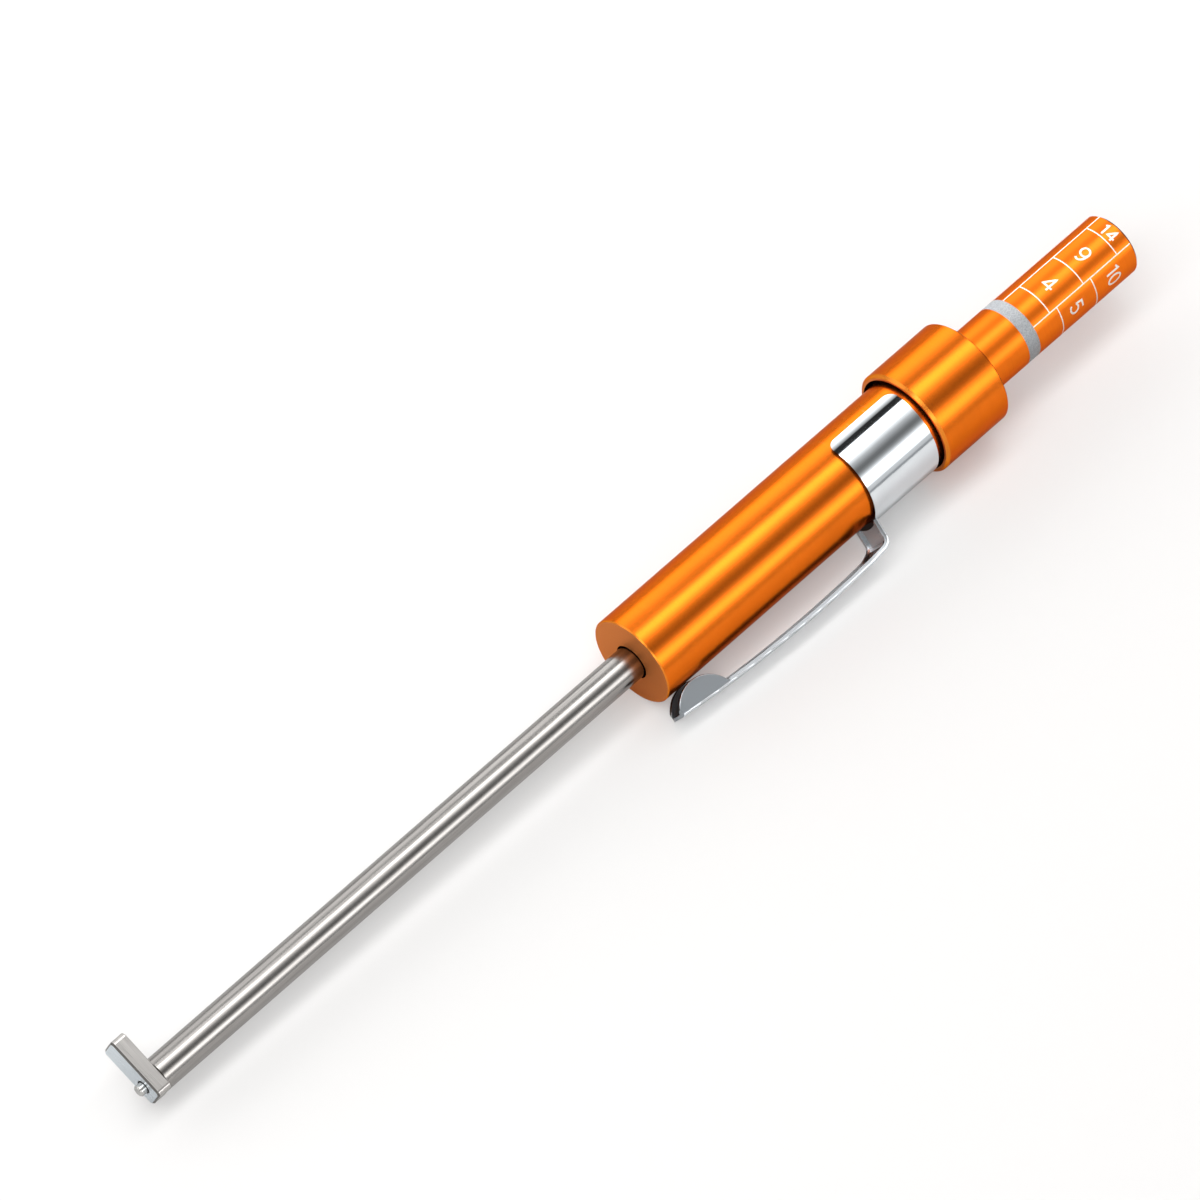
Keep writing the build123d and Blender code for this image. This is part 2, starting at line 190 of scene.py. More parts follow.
def anodised_aluminium(colour, roughness, lathe_pitch, recess_radius, recess_end, rub_start, rub_end):
    """Turned aluminium, dyed and anodised: a tinted metal whose satin skin keeps fine lathe rings.

    What lies within recess_radius and before recess_end is painted near-black as shade. From rub_start
    to rub_end the clip's band has rubbed pale arcs into the dye. A barrel without a recess or rubs has
    zeros there.
    The faced front ends are rougher, and their paler colour is a painted sheen. Their broken edges are
    painted bright as a highlight, and the broken edges of the rear ends are painted dark as shade.
    """
    material, tree = new_material("anodised_aluminium")
    rings = grain(tree, (lathe_pitch, 7.0, 7.0))
    clouds = grain(tree, (5.0, 2.5, 2.5), detail=1.0)
    rubs = grain(tree, (0.35, 2.6, 2.6), detail=2.0)
    along, radius, facing, _ = gauge_place(tree)
    dyed = add_node(
        tree,
        "ShaderNodeValToRGB",
        {"Fac": clouds},
        stops=[(0.0, shade(colour, 0.93)), (1.0, colour)],
    )
    turned = add_node(
        tree,
        "ShaderNodeValToRGB",
        {"Fac": rings},
        stops=[(0.0, (0.95, 0.94, 0.93, 1.0)), (1.0, WHITE)],
    )
    ringed = add_node(
        tree,
        "ShaderNodeMix",
        {"Factor": 1.0, 6: dyed.outputs["Color"], 7: turned.outputs["Color"]},
        data_type="RGBA",
        blend_type="MULTIPLY",
    )
    rubbed_from = add_node(tree, "ShaderNodeMath", {0: along, 1: rub_start}, operation="GREATER_THAN")
    rubbed_to = add_node(tree, "ShaderNodeMath", {0: along, 1: rub_end}, operation="LESS_THAN")
    rubbed = add_node(
        tree,
        "ShaderNodeMath",
        {0: rubbed_from.outputs["Value"], 1: rubbed_to.outputs["Value"]},
        operation="MULTIPLY",
    )
    arcs = add_node(
        tree,
        "ShaderNodeMapRange",
        {"Value": rubs, "From Min": 0.74, "From Max": 0.95, "To Max": 0.3},
    )
    worn = add_node(
        tree,
        "ShaderNodeMath",
        {0: rubbed.outputs["Value"], 1: arcs.outputs["Result"]},
        operation="MULTIPLY",
    )
    paled = add_node(
        tree,
        "ShaderNodeMix",
        {"Factor": worn.outputs["Value"], 6: ringed.outputs[2], 7: linear("#E3A074")},
        data_type="RGBA",
    )
    faced = add_node(tree, "ShaderNodeMapRange", {"Value": facing, "From Min": 0.9, "From Max": 0.96})
    # painted highlight: broken edges that face the front are painted bright orange
    edged = add_node(
        tree,
        "ShaderNodeValToRGB",
        {"Fac": facing},
        stops=[(0.3, BLACK), (0.95, BLACK), (0.5, level(0.45)), (0.85, level(0.45))],
    )
    # painted shade: broken edges that face the rear are painted dark brown
    backing = add_node(tree, "ShaderNodeMath", {0: facing, 1: -1.0}, operation="MULTIPLY")
    rear_edged = add_node(
        tree,
        "ShaderNodeValToRGB",
        {"Fac": backing.outputs["Value"]},
        stops=[(0.06, BLACK), (0.97, BLACK), (0.14, level(0.85)), (0.9, level(0.85))],
    )
    rear_edge_painted_shade = add_node(
        tree,
        "ShaderNodeMix",
        {"Factor": rear_edged.outputs["Color"], 6: paled.outputs[2], 7: linear("#351303")},
        data_type="RGBA",
    )
    edge_painted_highlight = add_node(
        tree,
        "ShaderNodeMix",
        {"Factor": edged.outputs["Color"], 6: rear_edge_painted_shade.outputs[2], 7: linear("#FFA842")},
        data_type="RGBA",
    )
    # painted sheen: front faces get a paler colour; their higher roughness is a real coarser cut
    front_painted_sheen = add_node(
        tree,
        "ShaderNodeMix",
        {"Factor": faced.outputs["Result"], 6: edge_painted_highlight.outputs[2], 7: linear("#DF8C52")},
        data_type="RGBA",
    )
    # painted shade: what lies inside the recess radius and before the recess's end is painted near-black
    inside = add_node(tree, "ShaderNodeMath", {0: radius, 1: recess_radius}, operation="LESS_THAN")
    in_front = add_node(tree, "ShaderNodeMath", {0: along, 1: recess_end}, operation="LESS_THAN")
    shaded = add_node(
        tree,
        "ShaderNodeMath",
        {0: inside.outputs["Value"], 1: in_front.outputs["Value"]},
        operation="MULTIPLY",
    )
    recess_painted_shade = add_node(
        tree,
        "ShaderNodeMix",
        {"Factor": shaded.outputs["Value"], 6: front_painted_sheen.outputs[2], 7: linear("#1A0F0A")},
        data_type="RGBA",
    )
    # the dye is thicker to a glancing eye, so the edges go deep orange; the clear film adds a pale sheen
    film = {
        "Specular Tint": linear("#D4A98C"),
        "Coat Weight": 0.08,
        "Coat Roughness": 0.3,
        "Coat IOR": 1.6,
    }
    rough = add_node(
        tree,
        "ShaderNodeMapRange",
        {"Value": faced.outputs["Result"], "To Min": roughness, "To Max": 0.5},
    )
    metal(tree, recess_painted_shade.outputs[2], rough.outputs["Result"], rings, 0.00025, **film)
    return material


def drawn_stainless(shade_start, shade_end):
    """Drawn stainless tube: grey metal with a soft shine and faint marks of drawing along it.

    Between its two given places along it, it is painted darker towards the handle, as shade where it
    goes into the handle's bore.
    """
    material, tree = new_material("drawn_stainless_steel")
    runs = grain(tree, (8.0, 0.3, 0.3), detail=2.0)
    rings = grain(tree, (0.14, 3.0, 3.0))
    grey = add_node(
        tree,
        "ShaderNodeValToRGB",
        {"Fac": runs},
        stops=[(0.0, linear("#969390")), (1.0, linear("#A5A29F"))],
    )
    along, _, _, _ = gauge_place(tree)
    # painted shade: the tube darkens towards the handle's bore
    tube_shade_ramp = add_node(
        tree,
        "ShaderNodeMapRange",
        {"Value": along, "From Min": shade_start, "From Max": shade_end, "To Max": 0.8},
    )
    tube_painted_shade = add_node(
        tree,
        "ShaderNodeMix",
        {"Factor": tube_shade_ramp.outputs["Result"], 6: grey.outputs["Color"], 7: linear("#2A2522")},
        data_type="RGBA",
    )
    metal(tree, tube_painted_shade.outputs[2], (0.19, 0.24), rings, 0.0003)
    return material


def ground_stainless(turn):
    """Surface-ground stainless bar: straight grinding lines along the bar, warm grey.

    Its front is lapped flat, and its cooler, paler colour is a painted reflection; its broken edges are
    painted dark as a reflection, with a painted highlight beside them.
    """
    material, tree = new_material("ground_stainless_steel")
    lines = grain(tree, (0.08, 6.0, 0.08), turn=-turn)
    _, _, facing, _ = gauge_place(tree)
    grey = add_node(
        tree,
        "ShaderNodeValToRGB",
        {"Fac": lines},
        stops=[(0.0, linear("#AFACA9")), (1.0, linear("#C2BFBC"))],
    )
    # painted light: the front gets a paler, cooler painted reflection, and its broken edges a painted
    # dark reflection with a painted highlight beside them
    edge = linear("#6B6966")
    front_painted_light = add_node(
        tree,
        "ShaderNodeValToRGB",
        {"Fac": facing},
        stops=[(0.2, WHITE), (0.97, linear("#DAE2E8")), (0.4, edge), (0.85, edge)],
    )
    fronted = add_node(tree, "ShaderNodeMath", {0: facing, 1: 0.3}, operation="GREATER_THAN")
    bar = add_node(
        tree,
        "ShaderNodeMix",
        {"Factor": fronted.outputs["Value"], 6: grey.outputs["Color"], 7: front_painted_light.outputs["Color"]},
        data_type="RGBA",
    )
    metal(tree, bar.outputs[2], (0.26, 0.34), lines, 0.0006)
    return material


def chrome_plate(ear_end, arm_end, band_start, band_radius):
    """Bright nickel-chrome plate on pressed sheet steel: a near mirror with the sheet's slight waves.

    The flats of the ears, up to ear_end, are painted greyer than their rims, as a reflection. The arm,
    up to arm_end, is duller from rubbing on cloth and has a painted dark reflection on its side towards
    the handle.
    The band, from band_start, is bright, and its front edge is painted dark, as the handle's reflection
    in it.
    Nothing beyond band_radius belongs to it.
    """
    material, tree = new_material("chrome_plated_steel")
    waves = grain(tree, (3.0, 2.4, 2.4), detail=1.0)
    along, radius, facing, outward = gauge_place(tree)
    dulled = add_node(
        tree,
        "ShaderNodeMapRange",
        {"Value": along, "From Min": arm_end, "From Max": band_start, "To Min": 0.36, "To Max": 0.075},
    )
    # painted reflection: the band's front edge is painted dark brown, as the handle's reflection in it
    fronted = add_node(tree, "ShaderNodeMath", {0: facing, 1: 0.8}, operation="GREATER_THAN")
    on_band = add_node(tree, "ShaderNodeMath", {0: radius, 1: band_radius}, operation="LESS_THAN")
    painted_band_front = add_node(
        tree,
        "ShaderNodeMath",
        {0: fronted.outputs["Value"], 1: on_band.outputs["Value"]},
        operation="MULTIPLY",
    )
    colour = add_node(
        tree,
        "ShaderNodeValToRGB",
        {"Fac": waves},
        stops=[(0.0, linear("#E2E7EB")), (1.0, linear("#EAEFF3"))],
    )
    edged = add_node(
        tree,
        "ShaderNodeMix",
        {"Factor": painted_band_front.outputs["Value"], 6: colour.outputs["Color"], 7: linear("#33261F")},
        data_type="RGBA",
    )
    # painted reflection: the flats of the ears are painted greyer than the chrome
    on_ear = add_node(tree, "ShaderNodeMath", {0: along, 1: ear_end}, operation="LESS_THAN")
    sideways = add_node(tree, "ShaderNodeMath", {0: outward}, operation="ABSOLUTE")
    upright = add_node(
        tree,
        "ShaderNodeMapRange",
        {"Value": sideways.outputs["Value"], "From Min": 0.45, "From Max": 0.3},
    )
    flat = add_node(
        tree,
        "ShaderNodeMath",
        {0: on_ear.outputs["Value"], 1: upright.outputs["Result"]},
        operation="MULTIPLY",
    )
    ear_painted_grey = add_node(
        tree,
        "ShaderNodeMix",
        {"Factor": flat.outputs["Value"], 6: edged.outputs[2], 7: linear("#A3A9AE")},
        data_type="RGBA",
    )
    # painted reflection: the arm's side towards the handle is painted dark brown
    on_arm = add_node(tree, "ShaderNodeMath", {0: along, 1: arm_end}, operation="LESS_THAN")
    inward = add_node(
        tree,
        "ShaderNodeMapRange",
        {"Value": outward, "From Min": -0.25, "From Max": -0.5},
    )
    arm_painted_mask = add_node(
        tree,
        "ShaderNodeMath",
        {0: on_arm.outputs["Value"], 1: inward.outputs["Result"]},
        operation="MULTIPLY",
    )
    arm_painted_dark = add_node(
        tree,
        "ShaderNodeMix",
        {"Factor": arm_painted_mask.outputs["Value"], 6: ear_painted_grey.outputs[2], 7: linear("#3A2A22")},
        data_type="RGBA",
    )
    metal(tree, arm_painted_dark.outputs[2], dulled.outputs["Result"], waves, 0.0012)
    return material


def plain_metal(name, low_hex, high_hex, roughness, grain_mm):
    """A turned or drawn metal part inside the gauge: fine rings and a little variation in its colour."""
    material, tree = new_material(name)
    rings = grain(tree, (grain_mm, 2.0, 2.0))
    colour = add_node(
        tree,
        "ShaderNodeValToRGB",
        {"Fac": rings},
        stops=[(0.0, linear(low_hex)), (1.0, linear(high_hex))],
    )
    metal(tree, colour.outputs["Color"], (roughness - 0.04, roughness + 0.04), rings, 0.001)
    return material


def dull_surface(name, low_hex, high_hex, roughness, grain_mm, relief_mm):
    """A moulded polymer or a print: evenly coloured, with a fine speckle and a slight relief."""
    material, tree = new_material(name)
    speckle = grain(tree, (grain_mm, grain_mm, grain_mm), detail=2.0)
    colour = add_node(
        tree,
        "ShaderNodeValToRGB",
        {"Fac": speckle},
        stops=[(0.0, linear(low_hex)), (1.0, linear(high_hex))],
    )
    raised = add_node(tree, "ShaderNodeBump", {"Height": speckle, "Distance": relief_mm * MM})
    inputs = {
        "Base Color": colour.outputs["Color"],
        "Roughness": roughness,
        "Normal": raised.outputs["Normal"],
    }
    surface = add_node(tree, "ShaderNodeBsdfPrincipled", inputs)
    add_node(tree, "ShaderNodeOutputMaterial", {"Surface": surface.outputs["BSDF"]})
    return material


def studio_paper(colour, glow):
    """Matt white paper sweep: dull, with a glow that brings the lit paper to white in the picture.

    Shiny surfaces show only a share of the glow.
    """
    material, tree = new_material("studio_paper")
    mirrored_share = 0.25
    path = add_node(tree, "ShaderNodeLightPath")
    mirrored = add_node(
        tree,
        "ShaderNodeMath",
        {0: path.outputs["Is Glossy Ray"], 1: path.outputs["Is Transmission Ray"]},
        operation="ADD",
    )
    seen = add_node(
        tree,
        "ShaderNodeMath",
        {0: mirrored.outputs["Value"], 1: mirrored_share, 2: path.outputs["Is Camera Ray"]},
        operation="MULTIPLY_ADD",
    )
    strength = add_node(
        tree,
        "ShaderNodeMath",
        {0: seen.outputs["Value"], 1: glow},
        operation="MULTIPLY",
    )
    paper = add_node(tree, "ShaderNodeBsdfDiffuse", {"Color": colour, "Roughness": 0.5})
    light = add_node(tree, "ShaderNodeEmission", {"Strength": strength.outputs["Value"]})
    both = add_node(
        tree,
        "ShaderNodeAddShader",
        {0: paper.outputs["BSDF"], 1: light.outputs["Emission"]},
    )
    add_node(tree, "ShaderNodeOutputMaterial", {"Surface": both.outputs["Shader"]})
    return material


def give(nodes, material):
    """Assign a material to the material slots of these nodes of the gauge."""
    for name in nodes:
        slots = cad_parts[name].material_slots
        if not slots:
            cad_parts[name].data.materials.append(material)
        for slot in slots:
            slot.material = material


def arc(centre_x, centre_y, radius_x, radius_y, start, end):
    """Return points along an elliptical arc between two angles in degrees."""
    step_turn = 12
    steps = max(4, round(abs(end - start) / step_turn))
    points = []
    for step in range(steps + 1):
        turn = math.radians(start + (end - start) * step / steps)
        points.append((centre_x + radius_x * math.cos(turn), centre_y + radius_y * math.sin(turn)))
    return points


def digit_strokes(digit):
    """Return a digit's pen strokes; x runs across it, y up it, and it is 1 high about its middle."""
    nine = [
        arc(0.0, 0.19, 0.29, 0.31, 0, 360),
        arc(-0.07, 0.17, 0.36, 0.67, 0, -118),
    ]
    strokes = {
        "0": [arc(0.0, 0.0, 0.27, 0.5, 0, 360)],
        "1": [[(-0.17, 0.36), (0.06, 0.5), (0.06, -0.5)]],
        "2": [arc(0.0, 0.22, 0.28, 0.28, 165, -35) + [(-0.29, -0.5), (0.31, -0.5)]],
        "3": [arc(-0.02, 0.25, 0.25, 0.25, 150, -90), arc(-0.02, -0.23, 0.29, 0.27, 90, -150)],
        "4": [[(0.14, -0.5), (0.14, 0.5), (-0.34, -0.22), (0.36, -0.22)]],
        "5": [[(0.26, 0.5), (-0.19, 0.5), (-0.24, 0.08)] + arc(-0.02, -0.18, 0.3, 0.31, 128, -150)],
        "6": [[(-x, -y) for x, y in stroke] for stroke in nine],
        "7": [[(-0.29, 0.5), (0.29, 0.5), (-0.1, -0.5)]],
        "8": [arc(0.0, 0.26, 0.23, 0.24, 0, 360), arc(0.0, -0.24, 0.28, 0.26, 0, 360)],
        "9": nine,
    }
    return strokes[digit]


def fine_points(points, longest):
    """Return a stroke's points with more put in, so that no step is longer than this."""
    fine = [points[0]]
    for before, after in zip(points, points[1:]):
        steps = max(1, math.ceil(math.dist(before, after) / longest))
        for step in range(1, steps + 1):
            share = step / steps
            x = before[0] + (after[0] - before[0]) * share
            y = before[1] + (after[1] - before[1]) * share
            fine.append((x, y))
    return fine


def ribbon_sides(points, width):
    """Return the two sides of a pen stroke of this width, mitred at its corners."""
    closed = math.dist(points[0], points[-1]) < 1e-9
    longest_mitre = 1.6
    last = len(points) - 1
    sides = []
    for index, point in enumerate(points):
        before = points[index - 1] if index else (points[-2] if closed else point)
        after = points[index + 1] if index < last else (points[1] if closed else point)
        first = Vector(point) - Vector(before)
        second = Vector(after) - Vector(point)
        first = first.normalized() if first.length else second.normalized()
        second = second.normalized() if second.length else first
        along = (first + second).normalized()
        mitre = 1 / max(along.dot(first), 1 / longest_mitre)
        across = Vector((-along.y, along.x)) * width / 2 * mitre
        sides.append((Vector(point) + across, Vector(point) - across))
    return sides


def printed_piece(name, strokes, radius, film):
    """Wrap flat pen strokes round the barrel as an ink film; a stroke is its points, width and lift."""
    longest = 0.2 * MM
    vertices = []
    faces = []
    for points, width, lift in strokes:
        start = len(vertices)
        for left, right in ribbon_sides(fine_points(points, longest), width):
            corners = ((left, film + lift), (right, film + lift), (right, -film), (left, -film))
            for side, height in corners:
                outward = radial(side.y / radius)
                vertices.append(Vector((side.x, 0, 0)) + outward * (radius + height))
        rungs = (len(vertices) - start) // 4
        for rung in range(rungs - 1):
            base = start + 4 * rung
            for corner in range(4):
                following = (corner + 1) % 4
                faces.append((base + corner, base + following, base + 4 + following, base + 4 + corner))
        faces.append((start + 3, start + 2, start + 1, start))
        faces.append(tuple(len(vertices) - 4 + corner for corner in range(4)))
    mesh = bpy.data.meshes.new(name)
    mesh.from_pydata(vertices, [], faces)
    mesh.validate()
    piece = bpy.data.objects.new(name, mesh)
    bpy.context.scene.collection.objects.link(piece)
    return piece


class GaugeFinishSettings(bpy.types.PropertyGroup):
    """Colours and grain of the gauge's surfaces."""

    barrel_colour: FloatVectorProperty(
        name="Barrel colour",
        description="Dye of the anodised barrels",
        subtype="COLOR",
        size=4,
        min=0,
        max=1,
        default=linear("#F47716"),
    )
    lathe_pitch: FloatProperty(
        name="Lathe rings",
        description="Width of the turning marks, drawn coarser than the real ones so that they show",
        unit="LENGTH",
        default=0.12 * MM,
    )
    recess_depth: FloatProperty(
        name="Recess depth",
        description="Depth of the shaded recesses in the handle's and the collar's front",
        unit="LENGTH",
        default=1.4 * MM,
    )
    band_length: FloatProperty(
        name="Band length",
        description="Length of the handle that the clip's band rubs on",
        unit="LENGTH",
        default=9.3 * MM,
    )
    foot_turn: FloatProperty(
        name="Foot angle",
        description="Turn of the foot's length round the gauge, from +Y towards +Z",
        subtype="ANGLE",
        default=math.radians(20.7),
    )


class GaugeScaleSettings(bpy.types.PropertyGroup):
    """Sizes of the printed scale."""

    last_value: IntProperty(
        name="Last value",
        description="Largest number on the scale; each step is a millimetre",
        default=14,
    )
    columns: IntProperty(
        name="Columns",
        description="Columns that the numbers are spread over, round the barrel",
        default=5,
    )
    first_column_turn: FloatProperty(
        name="First column",
        description="Where the column of 4, 9 and 14 starts, from straight up towards -Y",
        subtype="ANGLE",
        default=math.radians(-27.9),
    )
    seam: FloatProperty(
        name="Seam",
        description="Bare strip between the end of the print and its start",
        subtype="ANGLE",
        default=math.radians(30),
    )
    line_width: FloatProperty(
        name="Line width",
        description="Width of the printed lines",
        unit="LENGTH",
        default=0.13 * MM,
    )
    number_height: FloatProperty(
        name="Number height",
        description="Height of the numbers along the gauge",
        unit="LENGTH",
        default=1.68 * MM,
    )
    number_stroke: FloatProperty(
        name="Number stroke",
        description="Stroke width of the numbers",
        unit="LENGTH",
        default=0.22 * MM,
    )
    digit_advance: FloatProperty(
        name="Digit advance",
        description="From one digit's middle to the next digit's middle",
        unit="LENGTH",
        default=1.02 * MM,
    )
    film: FloatProperty(
        name="Ink film",
        description="How far the ink stands on the barrel",
        unit="LENGTH",
        default=0.006 * MM,
    )


class GaugeStageSettings(bpy.types.PropertyGroup):
    """The floor, the lamps and the camera."""

    azimuth: FloatProperty(
        name="Camera azimuth",
        description="Camera's turn round +Z; 0 looks along +Y",
        subtype="ANGLE",
        default=math.radians(-46.5),
    )
    elevation: FloatProperty(
        name="Camera elevation",
        description="Camera's height above the horizon",
        subtype="ANGLE",
        default=math.radians(55.3),
    )
    target: FloatVectorProperty(
        name="Camera target",
        description="Point at the picture's centre",
        subtype="TRANSLATION",
        unit="LENGTH",
        default=(70.4 * MM, 5.967 * MM, 2.862 * MM),
    )
    distance: FloatProperty(
        name="Camera distance",
        description="From the target to the camera",
        unit="LENGTH",
        default=1.125,
    )
    lens: FloatProperty(
        name="Lens",
        description="Focal length in millimetres on a sensor 36 mm wide",
        default=344.25,
    )
    floor_colour: FloatVectorProperty(
        name="Floor colour",
        description="Colour of the paper",
        subtype="COLOR",
        size=4,
        min=0,
        max=1,
        default=linear("#C5C4C3"),
    )
    floor_glow: FloatProperty(
        name="Floor glow",
        description="Light that the picture adds to the paper",
        default=0.29,
    )


class GAUGE_OT_finish_barrels(bpy.types.Operator):
    """Finish the handle barrel, collar and scale barrel in anodised aluminium"""

    bl_idname = "gauge.finish_barrels"
    bl_label = "Finish barrels"

    def execute(self, context):
        finish = context.scene.gauge_finish
        colour = tuple(finish.barrel_colour)
        pitch = finish.lathe_pitch / MM
        handle_low, handle_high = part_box("handle_barrel")
        collar_low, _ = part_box("collar")
        _, clip_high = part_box("pocket_clip")
        _, tube_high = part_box("guide_tube")
        band_start = clip_high.x - finish.band_length
        # the recesses round the tube and in the collar's front are painted dark as shade
        tube_room = 0.17 * MM
        band_room = 0.46 * MM
        handle_recess = tube_high.y + tube_room
        handle_recess_end = handle_low.x + finish.recess_depth
        collar_recess = handle_high.y + band_room
        collar_recess_end = collar_low.x + finish.recess_depth
        for name, roughness, radius, end, rub_start, rub_end in (
            ("handle_barrel", 0.27, handle_recess, handle_recess_end, band_start, clip_high.x),
            ("collar", 0.27, collar_recess, collar_recess_end, 0.0, 0.0),
            ("scale_barrel", 0.36, 0.0, 0.0, 0.0, 0.0),
        ):
            give((name,), anodised_aluminium(colour, roughness, pitch, radius, end, rub_start, rub_end))
        return {"FINISHED"}


class GAUGE_OT_finish_probe(bpy.types.Operator):
    """Finish the guide tube, probe rod and foot in stainless steel"""

    bl_idname = "gauge.finish_probe"
    bl_label = "Finish probe"

    def execute(self, context):
        # the tube is painted darker as shade over 2.4 mm up to where it enters the handle
        shade_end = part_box("handle_barrel")[0].x + 0.2 * MM
        shade_length = 2.4 * MM
        give(("guide_tube",), drawn_stainless(shade_end - shade_length, shade_end))
        give(("probe_rod",), plain_metal("ground_silver_steel", "#B4B3B0", "#CFCECB", 0.22, 0.12))
        give(("foot",), ground_stainless(context.scene.gauge_finish.foot_turn))
        return {"FINISHED"}


class GAUGE_OT_finish_clip(bpy.types.Operator):
    """Finish the pocket clip in chrome plate"""

    bl_idname = "gauge.finish_clip"
    bl_label = "Finish clip"

    def execute(self, context):
        clip_low, clip_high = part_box("pocket_clip")
        ear_length = 6.7 * MM
        band_thickness = 0.6 * MM
        bend_length = 0.8 * MM
        band_start = clip_high.x - context.scene.gauge_finish.band_length
        band_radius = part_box("handle_barrel")[1].y + band_thickness
        ear_end = clip_low.x + ear_length
        give(("pocket_clip",), chrome_plate(ear_end, band_start - bend_length, band_start, band_radius))
        return {"FINISHED"}


class GAUGE_OT_finish_ring(bpy.types.Operator):
    """Finish the limit ring in light grey polymer"""

    bl_idname = "gauge.finish_ring"
    bl_label = "Finish limit ring"

    def execute(self, context):
        give(("limit_ring",), dull_surface("grey_acetal", "#8C9095", "#B4B7BA", 0.5, 0.14, 0.006))
        return {"FINISHED"}


class GAUGE_OT_finish_inside(bpy.types.Operator):
    """Finish the brass, steel and polymer pieces inside the gauge"""

    bl_idname = "gauge.finish_inside"
    bl_label = "Finish inner pieces"

    def execute(self, context):
        give(BRASS_NODES, plain_metal("turned_brass", "#B98F45", "#D9B36A", 0.24, 0.1))
        give(SPRING_NODES, plain_metal("spring_steel", "#7D7C7A", "#98979A", 0.3, 0.2))
        give(ZINC_NODES, plain_metal("zinc_plated_steel", "#AEB1B5", "#C6C9CC", 0.28, 0.1))
        give(("holder_grub_screw",), plain_metal("black_oxide_steel", "#1B1B1D", "#2E2E31", 0.4, 0.1))
        give(BEARING_NODES, dull_surface("black_acetal", "#18181A", "#252528", 0.42, 0.1, 0.004))
        return {"FINISHED"}


class GAUGE_OT_fit_spring(bpy.types.Operator):
    """Fit a copy of the return spring to the handle in place of the imported one"""

    bl_idname = "gauge.fit_spring"
    bl_label = "Fit return spring"

    def execute(self, context):
        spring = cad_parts["return_spring"]
        piece = bpy.data.objects.new("return_spring_coil", spring.data.copy())
        context.scene.collection.objects.link(piece)
        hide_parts("return_spring")
        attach(piece, "handle")
        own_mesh(piece)
        return {"FINISHED"}


class GAUGE_OT_print_scale(bpy.types.Operator):
    """Print the scale's lines and numbers on the scale barrel"""

    bl_idname = "gauge.print_scale"
    bl_label = "Print scale"

    def execute(self, context):
        scale = context.scene.gauge_scale
        ring_low, ring_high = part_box("limit_ring")
        barrel_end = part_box("scale_barrel")[1].x
        radius = (ring_high.y - ring_low.y) / 2
        step = math.tau / scale.columns
        starts = [scale.first_column_turn + column * step for column in range(scale.columns)]
        ends = [start + step for start in starts]
        ends[-1] -= scale.seam
        end_x = barrel_end - 0.25 * MM
        number_share = 0.57
        middle_share = 0.43
        # strokes that cross are lifted by turns, so that their faces never lie in one plane
        lift = 0.0006 * MM
        lines = []
        for turn in (*starts, ends[-1]):
            points = [(ring_high.x, turn * radius), (end_x, turn * radius)]
            lines.append((points, scale.line_width, 0.0))
        numbers = []
        for value in range(1, scale.last_value + 1):
            column = (value + 1) % scale.columns
            start = starts[column] * radius
            end = ends[column] * radius
            line_x = ring_low.x + value * MM
            following = value + scale.columns
            next_x = ring_low.x + following * MM if following <= scale.last_value else barrel_end
            if line_x > ring_high.x:
                lines.append(([(line_x, start), (line_x, end)], scale.line_width, lift))
            cell_x = max(line_x, ring_high.x)
            height = min(scale.number_height, number_share * (next_x - cell_x))
            # the column of 5 and 10 is printed off its middle
            side_share = 0.35 if column == 1 else 0.49
            middle = start + side_share * (end - start)
            middle_x = cell_x + middle_share * (next_x - cell_x)
            text = str(value)
            for place, digit in enumerate(text):
                offset = middle + (place - (len(text) - 1) / 2) * scale.digit_advance
                for index, stroke in enumerate(digit_strokes(digit)):
                    points = [(middle_x + y * height, offset + x * height) for x, y in stroke]
                    numbers.append((points, scale.number_stroke, index * lift))
        ink = dull_surface("screen_printed_ink", "#FBF1E4", "#FFFCF7", 0.45, 0.2, 0.001)
        for name, strokes in (("scale_lines", lines), ("scale_numbers", numbers)):
            piece = printed_piece(name, strokes, radius, scale.film)
            piece.data.materials.append(ink)
            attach(piece, "plunger")
        return {"FINISHED"}


